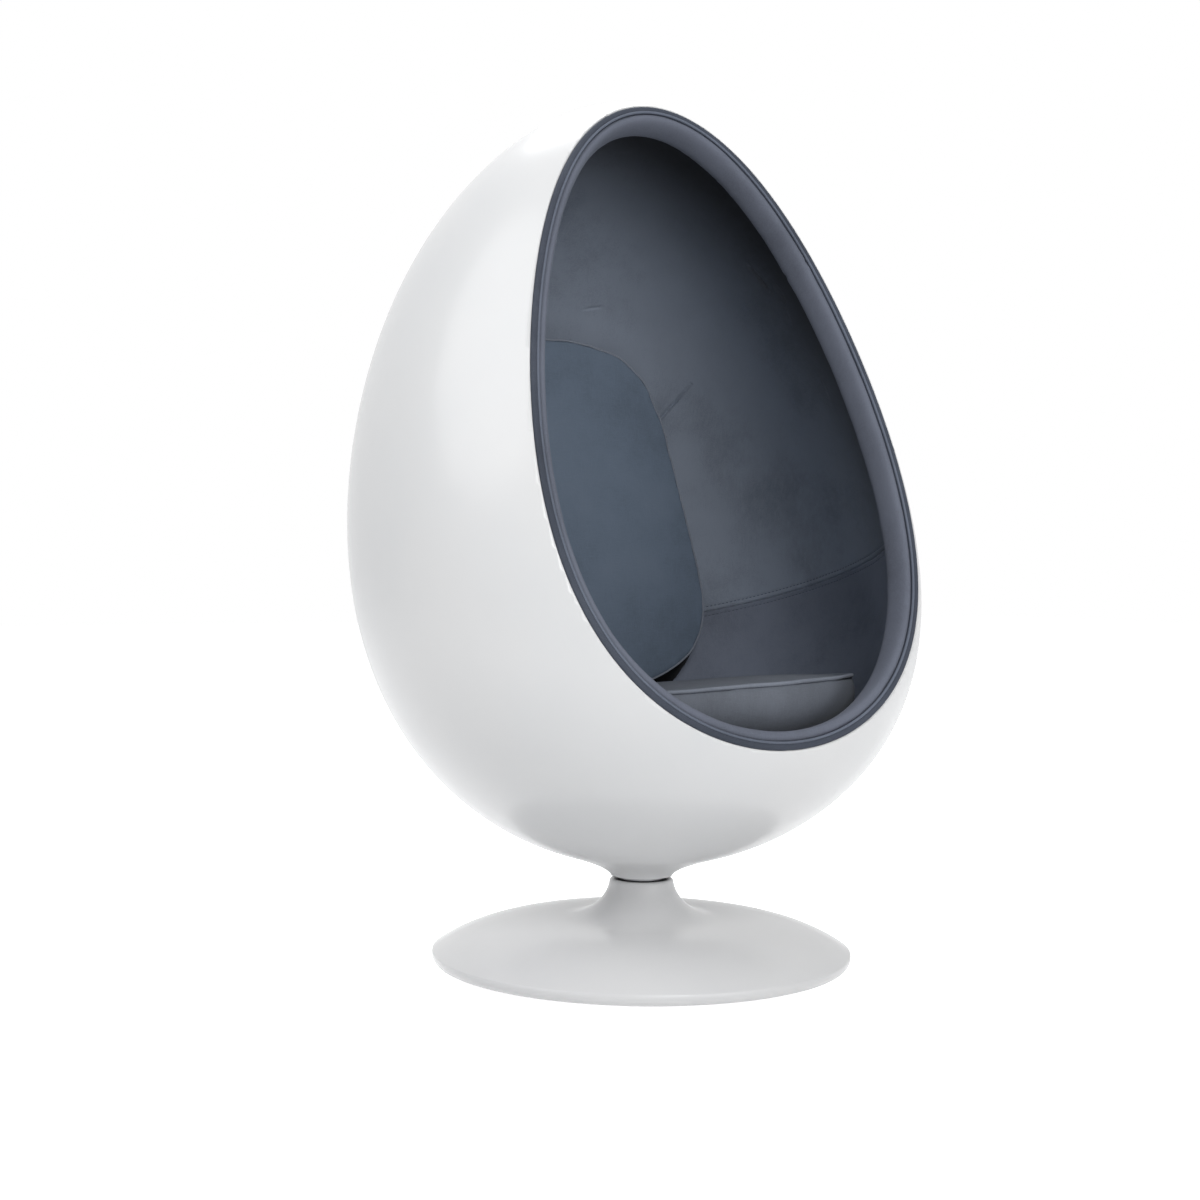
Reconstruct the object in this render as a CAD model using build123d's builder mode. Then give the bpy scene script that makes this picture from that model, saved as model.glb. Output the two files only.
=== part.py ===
from build123d import *

import os
from math import asin, cos, hypot, pi, radians, sin, sqrt

# Pod chair: an egg-shaped upholstered pod that turns on a trumpet base.
# Millimetres. +Z is up, the origin is the base's middle on the floor, and the pod looks along -Y.

# ---- driving dimensions --------------------------------------------------------------------------
CHAIR_HEIGHT = 1300.0
GAP = 0.3  # left between pieces that are bedded or pushed against each other

# the egg: level rings, RING_RADIUS * sqrt(1 - w^2) * SWELL(w), with w from -1 at the foot to 1 on top
EGG_FOOT = 145.6
RING_RADIUS = 421.3
SWELL = (1.0, -0.201, 0.056, 0.023, -0.040)
LEAN = (55.2, 107.2, -23.6, -72.4)  # how far back each ring's middle lies, by the same w
EGG_RINGS = 12
EGG_END = 88.0  # degrees of the egg's half turn that the rings cover, each way
SHELL_WALL = 5.0

# the mouth: a flat cut across the egg's front that leans back
MOUTH_LEAN = 20.76
MOUTH_REACH = 218.0
MOUTH_AIM_HEIGHT = 700.0
MOUTH_CENTRE = 20.0  # where the outline's rays start, up the mouth plane
MOUTH_POINTS = 28

# how finely slopes and edges are worked out, in radians and in halvings of a ray
SMALL_TURN = 0.0001
EDGE_STEP = 0.01
HALVINGS = 40

# upholstery
LINING = 25.0
RIM_DEPTH = 42.0
WELT_WIDTH = 14.2
WELT_OVERHANG = 1.0
WELT_RISE = 8.0
ROLL_WIDTH = 16.0
ROLL_RISE = 4.0
ROLL_SIDES = 12
PIPING_RADIUS = 2.2
PIPING_SIDES = 8
SEAM_HEIGHT = 594.0  # of the seam between the two lining panels, on the chair's axis
SEAM_LEAN = 15.5  # the seam rises towards the mouth

# seat
SEAT_TILT = 4.0
SEAT_HEIGHT = 322.0  # of the board's top on the chair's axis
BOARD = 15.0
BEARER_COUNT = 6
BEARER_SIZE = (90.0, 44.0, 34.0)
BEARER_INSET = 17.3  # of the bearers' screws from the shell, at the bearers' feet
BOARD_SCREW = 4.0
CUSHION_EASE = 46.2  # between the cushion's foot and the lining, level with the axis
CUSHION_FLARE = 44.0
CUSHION_SIDE = 84.0
CUSHION_BULGE = 9.0
CUSHION_CROWN = 12.0
CORD = 3.4
CORD_SIDES = 8
CORD_STAND = 0.8  # between the seat cushion's edge and its upper cord, which clears the bulge
FOOT_CORD_STAND = 6.0

# back pad
BACK_LEAN = 8.9
BACK_FOOT = 405.4
BACK_SPACE = 149.0  # from the lining to the pad's front edge, at the pad's foot
BACK_WIDTH_LOW = 510.0
BACK_WIDTH_MID = 534.0
BACK_WIDTH_HIGH = 384.0
BACK_TALL = 570.0
BACK_LOW_CORNER = 25.0
BACK_WIDEST = 190.0
BACK_HIGH_CORNER = 535.0
BACK_LOW_ROUND = 84.0
BACK_HIGH_ROUND = 120.0
BACK_SIDE = 60.0
BACK_CROWN = 18.0
BACK_CROWN_REACH = 300.0

# neck and swivel
NECK_RADIUS = 44.5
POD_NECK_END = 128.5
FLARE_RADIUS = 112.0
FLARE_HEIGHT = 162.0
FLARE_SLOPE = 0.19
FLOOR_PAD_TOP = 178.0
FLOOR_PAD_RADIUS = 100.0
POST_RADIUS = 25.0
POST_WALL = 6.0
POST_TOP = 250.0
RUNNING_CLEARANCE = 0.05
BUSH_WALL = 3.0
BUSH_LENGTH = 26.0
BUSH_FLANGE = 2.5
BUSH_FLANGE_RADIUS = 36.0
SLEEVE_WALL = 5.0
SLEEVE_BOTTOM = 124.0
SLEEVE_TOP = 232.0
FLANGE_RADIUS = 90.0
FLANGE = 6.0
SLEEVE_BOLT_COUNT = 6
SLEEVE_BOLT_RING = 68.0
SLEEVE_BOLT_RADIUS = 4.0
SLEEVE_BOLT_LENGTH = 22.0
SLEEVE_BOLT_FLATS = 13.0
SLEEVE_BOLT_HEAD = 5.3
THRUST_WASHER = 2.5
THRUST_WASHER_RADIUS = 38.0
STOP_RADIUS = 34.0
STOP_HEIGHT = 10.0
STOP_CHAMFER = 1.5
CAP_HEAD = 4.0
CAP_TAPER = 30.0
CAP_PLUG = 14.0

# base
BASE_RADIUS = 315.6
BASE_EDGE_ROUND = 10.0
BASE_EDGE_TURN = 55.3  # degrees above level where the rounded edge runs into the shoulder
BASE_LIFT = 1.0
BASE_SKIN = 3.0
SHOULDER_REACH = 53.6  # in from the base's edge
SHOULDER_HEIGHT = 44.2
DOME_RADIUS = 125.0
DOME_HEIGHT = 66.0
BASE_TOP = 123.5
BASE_NECK_FOOT = 120.0
BASE_NECK_RADIUS = 49.2
BASE_LIP_RADIUS = 41.0
FLARE_CHORDS = 3  # straight runs of the flare's inner face
COLLAR_EASE = 0.2
COLLAR_TOP = 119.0
COLLAR_HEIGHT = 9.0
PLATE_BOTTOM = 4.0
PLATE = 6.0
FOOT_PAD_INSET = 7.0
POST_FLANGE_RADIUS = 80.0
POST_FLANGE = 10.0
POST_BOLT_COUNT = 4
POST_BOLT_RING = 58.0
POST_BOLT_RADIUS = 5.0
POST_BOLT_FLATS = 17.0
POST_BOLT_HEAD = 6.4

# ---- sizes worked out from them ------------------------------------------------------------------
EGG_MIDDLE = (CHAIR_HEIGHT + EGG_FOOT) / 2
EGG_HALF = (CHAIR_HEIGHT - EGG_FOOT) / 2
CAVITY = SHELL_WALL + GAP
PLATE_TOP = PLATE_BOTTOM + PLATE
SLEEVE_BORE = POST_RADIUS + RUNNING_CLEARANCE + BUSH_WALL
SLEEVE_RADIUS = SLEEVE_BORE + SLEEVE_WALL
STOP_BOTTOM = SLEEVE_TOP + BUSH_FLANGE + GAP
ROLL_START = WELT_WIDTH - WELT_OVERHANG + GAP
SHOULDER_RADIUS = BASE_RADIUS - SHOULDER_REACH
PLATE_RADIUS = BASE_RADIUS - BASE_EDGE_ROUND - BASE_SKIN - GAP
FOOT_PAD_RADIUS = PLATE_RADIUS - FOOT_PAD_INSET
COLLAR_RADIUS = BASE_NECK_RADIUS - BASE_SKIN - COLLAR_EASE

mouth = Plane(
    origin=(
        0,
        -MOUTH_REACH * cos(radians(MOUTH_LEAN)),
        MOUTH_AIM_HEIGHT + MOUTH_REACH * sin(radians(MOUTH_LEAN)),
    ),
    x_dir=(1, 0, 0),
    z_dir=(0, -cos(radians(MOUTH_LEAN)), sin(radians(MOUTH_LEAN))),
)
seat = Plane(
    origin=(0, 0, SEAT_HEIGHT),
    x_dir=(1, 0, 0),
    z_dir=(0, sin(radians(SEAT_TILT)), cos(radians(SEAT_TILT))),
)
seat_section = Plane(origin=seat.origin, x_dir=(1, 0, 0), z_dir=-seat.y_dir)
seat_axis = Axis(seat.origin, seat.z_dir)
seam = Plane(
    origin=(0, 0, SEAM_HEIGHT),
    x_dir=(1, 0, 0),
    z_dir=(0, sin(radians(SEAM_LEAN)), cos(radians(SEAM_LEAN))),
)


# ---- the egg -------------------------------------------------------------------------------------
def series(terms, w):
    return sum(term * w**power for power, term in enumerate(terms))


def ring_radius(w):
    return RING_RADIUS * sqrt(max(1 - w * w, 0)) * series(SWELL, w)


def level(height):
    """Radius and middle of the shell's outer face at this height."""
    w = (height - EGG_MIDDLE) / EGG_HALF
    return ring_radius(w), series(LEAN, w)


def egg_ring(turn, inset):
    """Radius, height and middle of one level ring, moved inwards square to the wall."""
    rise = EGG_HALF * cos(turn)
    widen = ring_radius(sin(turn + SMALL_TURN)) - ring_radius(sin(turn - SMALL_TURN))
    widen /= 2 * SMALL_TURN
    steep = hypot(rise, widen)
    radius = ring_radius(sin(turn)) - inset * rise / steep
    height = EGG_MIDDLE + EGG_HALF * sin(turn) + inset * widen / steep
    return radius, height, series(LEAN, sin(turn))


def egg(inset):
    """A solid egg whose face lies this far inside the shell's outer face."""
    with BuildPart() as body:
        for i in range(EGG_RINGS + 1):
            turn = radians(EGG_END * (2 * i / EGG_RINGS - 1))
            radius, height, middle = egg_ring(turn, inset)
            with BuildSketch(Plane.XY.offset(height)):
                with Locations((0, middle)):
                    Circle(radius)
        loft()
    return body.part


def in_egg(point):
    radius, middle = level(point.Z)
    return hypot(point.X, point.Y - middle) < radius


def mouth_edge(angle):
    """The shell's edge on the mouth plane, found by halving along a ray from the mouth's middle."""
    near, far = 0.0, CHAIR_HEIGHT
    for _ in range(HALVINGS):
        reach = (near + far) / 2
        point = mouth.from_local_coords((reach * cos(angle), MOUTH_CENTRE + reach * sin(angle), 0))
        near, far = (reach, far) if in_egg(point) else (near, reach)
    return Vector(near * cos(angle), MOUTH_CENTRE + near * sin(angle))


def mouth_outline(inset):
    """Points round the mouth, moved in from the shell's edge, as mouth plane coordinates."""
    points = []
    for i in range(MOUTH_POINTS):
        angle = 2 * pi * i / MOUTH_POINTS - pi / 2
        along = mouth_edge(angle + EDGE_STEP) - mouth_edge(angle - EDGE_STEP)
        inwards = Vector(-along.Y, along.X).normalized()
        points.append(mouth_edge(angle) + inwards * inset)
    return points


def rim_strip(section):
    """Sweeps a closed section round the mouth: x is inwards from the shell's edge, y is forwards."""
    with BuildPart() as strip:
        with BuildLine() as edge:
            Spline(*[mouth.from_local_coords(point) for point in mouth_outline(0)], periodic=True)
        with BuildSketch(Plane(origin=edge.line @ 0, x_dir=mouth.y_dir, z_dir=edge.line % 0)):
            Polygon(*section, align=None)
        sweep()
    return strip.part


def rounded(width, depth, sides):
    """An oval with flat sides that face along x and y."""
    points = []
    for i in range(sides):
        angle = 2 * pi * (i + 0.5) / sides
        points.append((width / 2 * cos(angle), depth / 2 * sin(angle)))
    reach = cos(pi / sides)
    return [(x / reach, y / reach) for x, y in points]


def moved(points, x, y):
    return [(px + x, py + y) for px, py in points]


# ---- sizes that follow the egg -------------------------------------------------------------------
bearer_ring = level(SEAT_HEIGHT - BOARD - BEARER_SIZE[2])[0] - CAVITY - BEARER_INSET
cushion_foot = level(SEAT_HEIGHT)[0] - CAVITY - LINING - CUSHION_EASE
cushion_top = cushion_foot + CUSHION_FLARE
back_front = sum(level(BACK_FOOT)) - CAVITY - LINING - BACK_SPACE
back = Plane(
    origin=(0, back_front, BACK_FOOT),
    x_dir=(1, 0, 0),
    z_dir=(0, -cos(radians(BACK_LEAN)), sin(radians(BACK_LEAN))),
)

# ---- base ----------------------------------------------------------------------------------------
flare_run = DOME_RADIUS - BASE_NECK_RADIUS
flare_rise = BASE_NECK_FOOT - DOME_HEIGHT
flare_radius = (flare_run**2 + flare_rise**2) / (2 * flare_rise)
flare_turn = asin(flare_run / flare_radius)


def flare_skin(chord):
    """A corner of the flare's inner face, whose straight runs touch an arc one skin away."""
    turn = flare_turn * (chord + 0.5) / FLARE_CHORDS
    reach = (flare_radius + BASE_SKIN) / cos(flare_turn / 2 / FLARE_CHORDS)
    return DOME_RADIUS - reach * sin(turn), DOME_HEIGHT + flare_radius - reach * cos(turn)


with BuildPart() as base_shell:
    with BuildSketch(Plane.XZ):
        with BuildLine():
            edge = CenterArc(
                (BASE_RADIUS - BASE_EDGE_ROUND, BASE_LIFT + BASE_EDGE_ROUND),
                BASE_EDGE_ROUND,
                -90,
                90 + BASE_EDGE_TURN,
            )
            shoulder = TangentArc(edge @ 1, (SHOULDER_RADIUS, SHOULDER_HEIGHT), tangent=edge % 1)
            dome = TangentArc(shoulder @ 1, (DOME_RADIUS, DOME_HEIGHT), tangent=shoulder % 1)
            flare = TangentArc(dome @ 1, (BASE_NECK_RADIUS, BASE_NECK_FOOT), tangent=dome % 1)
            Polyline(
                flare @ 1,
                (NECK_RADIUS, BASE_TOP),
                (BASE_LIP_RADIUS, BASE_TOP),
                (BASE_LIP_RADIUS, COLLAR_TOP),
                (BASE_NECK_RADIUS - BASE_SKIN, COLLAR_TOP),
                *[flare_skin(chord) for chord in reversed(range(FLARE_CHORDS))],
                (DOME_RADIUS, DOME_HEIGHT - BASE_SKIN),
                (SHOULDER_RADIUS, SHOULDER_HEIGHT - BASE_SKIN),
                (BASE_RADIUS - BASE_EDGE_ROUND - BASE_SKIN, BASE_LIFT + BASE_EDGE_ROUND + BASE_SKIN),
                (BASE_RADIUS - BASE_EDGE_ROUND - BASE_SKIN, BASE_LIFT),
                edge @ 0,
            )
        make_face()
    revolve(axis=Axis.Z)
base_shell.part.label = "base_shell"

with BuildPart() as base_plate:
    with BuildSketch(Plane.XY.offset(PLATE_BOTTOM)):
        Circle(PLATE_RADIUS)
        with PolarLocations(POST_BOLT_RING, POST_BOLT_COUNT):
            Circle(POST_BOLT_RADIUS, mode=Mode.SUBTRACT)
    extrude(amount=PLATE)
base_plate.part.label = "base_plate"

with BuildPart() as foot_pad:
    with BuildSketch():
        Circle(FOOT_PAD_RADIUS)
    extrude(amount=PLATE_BOTTOM)
foot_pad.part.label = "foot_pad"

with BuildPart() as post:
    with BuildSketch(Plane.XY.offset(PLATE_TOP)):
        Circle(POST_RADIUS)
    extrude(amount=POST_TOP - PLATE_TOP)
    with BuildSketch(Plane.XY.offset(PLATE_TOP)):
        Circle(POST_FLANGE_RADIUS)
        with PolarLocations(POST_BOLT_RING, POST_BOLT_COUNT):
            Circle(POST_BOLT_RADIUS, mode=Mode.SUBTRACT)
    extrude(amount=POST_FLANGE)
    with BuildSketch(Plane.XY.offset(PLATE_TOP)):
        Circle(POST_RADIUS - POST_WALL)
    extrude(amount=POST_TOP - PLATE_TOP, mode=Mode.SUBTRACT)
post.part.label = "post"


def bolts(seat_height, ring, count, radius, length, flats, head):
    """Hex-head bolts in a ring, heads up, on a face at this height."""
    with BuildPart() as group:
        with BuildSketch(Plane.XY.offset(seat_height)):
            with PolarLocations(ring, count):
                RegularPolygon(flats / 2, 6, major_radius=False)
        extrude(amount=head)
        with BuildSketch(Plane.XY.offset(seat_height)):
            with PolarLocations(ring, count):
                Circle(radius)
        extrude(amount=-length)
    return group.part


post_bolts = bolts(
    PLATE_TOP + POST_FLANGE,
    POST_BOLT_RING,
    POST_BOLT_COUNT,
    POST_BOLT_RADIUS,
    POST_FLANGE + PLATE,
    POST_BOLT_FLATS,
    POST_BOLT_HEAD,
)
post_bolts.label = "post_bolts"

with BuildPart() as neck_collar:
    with BuildSketch(Plane.XY.offset(COLLAR_TOP)):
        Circle(COLLAR_RADIUS)
        Circle(POST_RADIUS, mode=Mode.SUBTRACT)
    extrude(amount=-COLLAR_HEIGHT)
neck_collar.part.label = "neck_collar"

with BuildPart() as thrust_washer:
    with BuildSketch(Plane.XY.offset(COLLAR_TOP)):
        Circle(THRUST_WASHER_RADIUS)
        Circle(POST_RADIUS + GAP, mode=Mode.SUBTRACT)
    extrude(amount=THRUST_WASHER)
thrust_washer.part.label = "thrust_washer"

with BuildPart() as stop_collar:
    with BuildSketch(Plane.XY.offset(STOP_BOTTOM)):
        Circle(STOP_RADIUS)
        Circle(POST_RADIUS, mode=Mode.SUBTRACT)
    extrude(amount=STOP_HEIGHT)
    chamfer(stop_collar.faces().sort_by(Axis.Z)[-1].outer_wire().edges(), length=STOP_CHAMFER)
stop_collar.part.label = "stop_collar"

with BuildPart() as post_cap:
    with BuildSketch(Plane.XY.offset(POST_TOP)):
        Circle(POST_RADIUS)
    extrude(amount=CAP_HEAD, taper=CAP_TAPER)
    with BuildSketch(Plane.XY.offset(POST_TOP)):
        Circle(POST_RADIUS - POST_WALL)
    extrude(amount=-CAP_PLUG)
post_cap.part.label = "post_cap"


# ---- pod shell and swivel ------------------------------------------------------------------------
with BuildPart() as pod_shell:
    add(egg(0))
    with BuildSketch(Plane.XZ):
        with BuildLine():
            flare = Spline(
                (NECK_RADIUS, POD_NECK_END),
                (FLARE_RADIUS, FLARE_HEIGHT),
                tangents=[(0, 1), (1, FLARE_SLOPE)],
            )
            Polyline(flare @ 1, (0, FLARE_HEIGHT), (0, POD_NECK_END), flare @ 0)
        make_face()
    revolve(axis=Axis.Z)
    with BuildPart(mode=Mode.PRIVATE) as cavity:
        add(egg(SHELL_WALL))
        with BuildSketch():
            Circle(FLOOR_PAD_RADIUS)
        extrude(amount=FLOOR_PAD_TOP, mode=Mode.SUBTRACT)
    add(cavity.part, mode=Mode.SUBTRACT)
    with BuildSketch():
        Circle(SLEEVE_RADIUS + GAP)
    extrude(amount=FLOOR_PAD_TOP, mode=Mode.SUBTRACT)
    with BuildSketch(Plane.XY.offset(FLOOR_PAD_TOP)):
        with PolarLocations(SLEEVE_BOLT_RING, SLEEVE_BOLT_COUNT):
            Circle(SLEEVE_BOLT_RADIUS)
    extrude(amount=FLANGE - SLEEVE_BOLT_LENGTH, mode=Mode.SUBTRACT)
    split(bisect_by=mouth, keep=Keep.BOTTOM)
pod_shell.part.label = "pod_shell"

with BuildPart() as swivel_sleeve:
    with BuildSketch(Plane.XY.offset(SLEEVE_BOTTOM)):
        Circle(SLEEVE_RADIUS)
    extrude(amount=SLEEVE_TOP - SLEEVE_BOTTOM)
    with BuildSketch(Plane.XY.offset(FLOOR_PAD_TOP)):
        Circle(FLANGE_RADIUS)
        with PolarLocations(SLEEVE_BOLT_RING, SLEEVE_BOLT_COUNT):
            Circle(SLEEVE_BOLT_RADIUS, mode=Mode.SUBTRACT)
    extrude(amount=FLANGE)
    with BuildSketch(Plane.XY.offset(SLEEVE_BOTTOM)):
        Circle(SLEEVE_BORE)
    extrude(amount=SLEEVE_TOP - SLEEVE_BOTTOM, mode=Mode.SUBTRACT)
swivel_sleeve.part.label = "swivel_sleeve"


def bush(end_height, inwards):
    """A flanged bush pushed into the sleeve's end; inwards is 1 when the sleeve lies above."""
    with BuildPart() as ring:
        with BuildSketch(Plane.XY.offset(end_height)):
            Circle(SLEEVE_BORE)
            Circle(POST_RADIUS + RUNNING_CLEARANCE, mode=Mode.SUBTRACT)
        extrude(amount=inwards * BUSH_LENGTH)
        with BuildSketch(Plane.XY.offset(end_height)):
            Circle(BUSH_FLANGE_RADIUS)
            Circle(POST_RADIUS + RUNNING_CLEARANCE, mode=Mode.SUBTRACT)
        extrude(amount=-inwards * BUSH_FLANGE)
    return ring.part


lower_bush = bush(SLEEVE_BOTTOM, 1)
lower_bush.label = "lower_bush"
upper_bush = bush(SLEEVE_TOP, -1)
upper_bush.label = "upper_bush"

sleeve_bolts = bolts(
    FLOOR_PAD_TOP + FLANGE,
    SLEEVE_BOLT_RING,
    SLEEVE_BOLT_COUNT,
    SLEEVE_BOLT_RADIUS,
    SLEEVE_BOLT_LENGTH,
    SLEEVE_BOLT_FLATS,
    SLEEVE_BOLT_HEAD,
)
sleeve_bolts.label = "sleeve_bolts"

# ---- seat board ----------------------------------------------------------------------------------
upholstery_end = mouth.offset(-RIM_DEPTH - GAP)
cavity_egg = egg(CAVITY)

with BuildPart() as seat_board:
    with BuildSketch(seat):
        Circle(RING_RADIUS)
    extrude(amount=-BOARD)
    add(cavity_egg, mode=Mode.INTERSECT)
    split(bisect_by=upholstery_end, keep=Keep.BOTTOM)
    with BuildSketch(seat):
        with PolarLocations(bearer_ring, BEARER_COUNT, start_angle=180 / BEARER_COUNT):
            Circle(BOARD_SCREW)
    extrude(amount=-BOARD, mode=Mode.SUBTRACT)
seat_board.part.label = "seat_board"

with BuildPart() as board_bearers:
    with BuildSketch(seat.offset(-BOARD)):
        with PolarLocations(bearer_ring, BEARER_COUNT, start_angle=180 / BEARER_COUNT):
            Rectangle(BEARER_SIZE[0], BEARER_SIZE[1])
    extrude(amount=-BEARER_SIZE[2])
    add(cavity_egg, mode=Mode.INTERSECT)
    split(bisect_by=upholstery_end, keep=Keep.BOTTOM)
    with BuildSketch(seat.offset(-BOARD)):
        with PolarLocations(bearer_ring, BEARER_COUNT, start_angle=180 / BEARER_COUNT):
            Circle(BOARD_SCREW)
    extrude(amount=-BOARD, mode=Mode.SUBTRACT)
board_bearers.part.label = "board_bearers"

with BuildPart() as board_screws:
    with BuildSketch(seat):
        with PolarLocations(bearer_ring, BEARER_COUNT, start_angle=180 / BEARER_COUNT):
            Circle(BOARD_SCREW)
    extrude(amount=-2 * BOARD)
board_screws.part.label = "board_screws"

# ---- lining and rim ------------------------------------------------------------------------------
with BuildPart() as lining:
    add(cavity_egg)
    add(egg(CAVITY + LINING), mode=Mode.SUBTRACT)
    split(bisect_by=upholstery_end, keep=Keep.BOTTOM)
    split(bisect_by=seat, keep=Keep.TOP)

with BuildPart() as lining_lower:
    add(lining.part)
    split(bisect_by=seam, keep=Keep.BOTTOM)
lining_lower.part.label = "lining_lower"

with BuildPart() as lining_upper:
    add(lining.part)
    split(bisect_by=seam, keep=Keep.TOP)
lining_upper.part.label = "lining_upper"

with BuildPart() as rim_backing:
    add(cavity_egg)
    split(bisect_by=mouth, keep=Keep.BOTTOM)
    split(bisect_by=mouth.offset(-RIM_DEPTH), keep=Keep.TOP)
    with BuildSketch(mouth):
        with BuildLine():
            Spline(*mouth_outline(ROLL_START - GAP), periodic=True)
        make_face()
    extrude(amount=-RIM_DEPTH, mode=Mode.SUBTRACT)
rim_backing.part.label = "rim_backing"

welt_arch = [
    (-WELT_OVERHANG, 0),
    (WELT_WIDTH - WELT_OVERHANG, 0),
    (WELT_WIDTH - WELT_OVERHANG, WELT_RISE / 2),
    (0.75 * WELT_WIDTH - WELT_OVERHANG, WELT_RISE),
    (0.25 * WELT_WIDTH - WELT_OVERHANG, WELT_RISE),
    (-WELT_OVERHANG, WELT_RISE / 2),
]
rim_welt = rim_strip(welt_arch)
rim_welt.label = "rim_welt"

roll_depth = RIM_DEPTH + ROLL_RISE
roll_oval = rounded(ROLL_WIDTH, roll_depth, ROLL_SIDES)
rim_roll = rim_strip(moved(roll_oval, ROLL_START + ROLL_WIDTH / 2, ROLL_RISE - roll_depth / 2))
rim_roll.label = "rim_roll"

cord = rounded(2 * PIPING_RADIUS, 2 * PIPING_RADIUS, PIPING_SIDES)
rim_piping = rim_strip(moved(cord, ROLL_START + PIPING_RADIUS, ROLL_RISE))
rim_piping.label = "rim_piping"

# ---- cushions ------------------------------------------------------------------------------------
with BuildPart() as seat_cushion:
    with BuildSketch(seat_section):
        with BuildLine():
            side = ThreePointArc(
                (cushion_foot, 0),
                ((cushion_foot + cushion_top) / 2 + CUSHION_BULGE, CUSHION_SIDE / 2),
                (cushion_top, CUSHION_SIDE),
            )
            crown = TangentArc(
                (0, CUSHION_SIDE + CUSHION_CROWN),
                (cushion_top, CUSHION_SIDE),
                tangent=(1, 0),
            )
            Polyline(crown @ 0, (0, 0), side @ 0)
        make_face()
    revolve(axis=seat_axis)
seat_cushion.part.label = "seat_cushion"


def seat_cord(radius, height):
    """A cord round the seat cushion, its middle at this radius and height above the board."""
    with BuildPart() as ring:
        with BuildSketch(seat_section):
            with Locations((radius, height)):
                Polygon(*rounded(2 * CORD, 2 * CORD, CORD_SIDES), align=None)
        revolve(axis=seat_axis)
    return ring.part


seat_piping = Compound(
    children=[
        seat_cord(cushion_top + CORD + CORD_STAND, CUSHION_SIDE),
        seat_cord(cushion_foot + CORD + FOOT_CORD_STAND, CORD + GAP),
    ]
)
seat_piping.label = "seat_piping"


with BuildSketch() as back_outline:
    with BuildLine():
        low, high = BACK_WIDTH_LOW / 2, BACK_WIDTH_HIGH / 2
        right = ThreePointArc(
            (low, BACK_LOW_CORNER), (BACK_WIDTH_MID / 2, BACK_WIDEST), (high, BACK_HIGH_CORNER)
        )
        left = ThreePointArc(
            (-low, BACK_LOW_CORNER), (-BACK_WIDTH_MID / 2, BACK_WIDEST), (-high, BACK_HIGH_CORNER)
        )
        ThreePointArc(left @ 0, (0, 0), right @ 0)
        ThreePointArc(left @ 1, (0, BACK_TALL), right @ 1)
    make_face()
    fillet(back_outline.vertices().group_by(Axis.Y)[0], radius=BACK_LOW_ROUND)
    fillet(back_outline.vertices().group_by(Axis.Y)[-1], radius=BACK_HIGH_ROUND)

with BuildPart() as back_cushion:
    with BuildSketch(back.offset(BACK_CROWN)):
        add(back_outline.sketch)
    extrude(amount=-BACK_SIDE - 2 * BACK_CROWN)
    dome = (BACK_CROWN_REACH**2 + BACK_CROWN**2) / (2 * BACK_CROWN)
    with Locations(back.from_local_coords((0, BACK_TALL / 2, BACK_CROWN - dome))):
        Sphere(dome, mode=Mode.INTERSECT)
    with Locations(back.from_local_coords((0, BACK_TALL / 2, dome - BACK_SIDE - BACK_CROWN))):
        Sphere(dome, mode=Mode.INTERSECT)
back_cushion.part.label = "back_cushion"

with BuildPart() as back_piping:
    with BuildSketch(back.offset(-CORD - GAP), mode=Mode.PRIVATE) as cord_line:
        add(back_outline.sketch)
        offset(amount=CORD + GAP)
    cord_path = cord_line.sketch.face().outer_wire()
    with BuildSketch(Plane(origin=cord_path @ 0, x_dir=back.z_dir, z_dir=cord_path % 0)):
        Polygon(*rounded(2 * CORD, 2 * CORD, CORD_SIDES), align=None)
    sweep(path=cord_path)
back_piping.part.label = "back_piping"

# ---- the files -----------------------------------------------------------------------------------
pieces = [
    base_shell.part,
    base_plate.part,
    foot_pad.part,
    post.part,
    post_bolts,
    neck_collar.part,
    thrust_washer.part,
    stop_collar.part,
    post_cap.part,
    pod_shell.part,
    swivel_sleeve.part,
    lower_bush,
    upper_bush,
    sleeve_bolts,
    seat_board.part,
    board_bearers.part,
    board_screws.part,
    lining_lower.part,
    lining_upper.part,
    rim_backing.part,
    rim_welt,
    rim_roll,
    rim_piping,
    seat_cushion.part,
    seat_piping,
    back_cushion.part,
    back_piping.part,
]
os.makedirs("parts", exist_ok=True)
for piece in pieces:
    export_step(piece, f"parts/{piece.label}.step")
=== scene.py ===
import math

import bmesh
import bpy
import numpy as np
from mathutils import Matrix, Vector, noise


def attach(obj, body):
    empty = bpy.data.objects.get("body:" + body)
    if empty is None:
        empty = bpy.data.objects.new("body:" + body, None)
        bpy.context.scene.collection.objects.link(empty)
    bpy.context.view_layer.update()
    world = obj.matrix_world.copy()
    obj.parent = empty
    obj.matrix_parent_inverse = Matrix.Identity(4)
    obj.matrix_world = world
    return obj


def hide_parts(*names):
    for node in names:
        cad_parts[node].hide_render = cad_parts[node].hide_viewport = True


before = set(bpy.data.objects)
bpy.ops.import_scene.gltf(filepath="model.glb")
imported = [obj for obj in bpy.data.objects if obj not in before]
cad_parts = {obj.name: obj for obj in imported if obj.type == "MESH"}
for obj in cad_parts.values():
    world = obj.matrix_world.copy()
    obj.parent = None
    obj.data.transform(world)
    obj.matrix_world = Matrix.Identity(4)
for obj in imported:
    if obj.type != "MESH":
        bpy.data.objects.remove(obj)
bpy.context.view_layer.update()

# Pod chair: the looks. Sizes are millimetres in the CAD row frame; meshes are written in metres.
MM = 0.001

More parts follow.
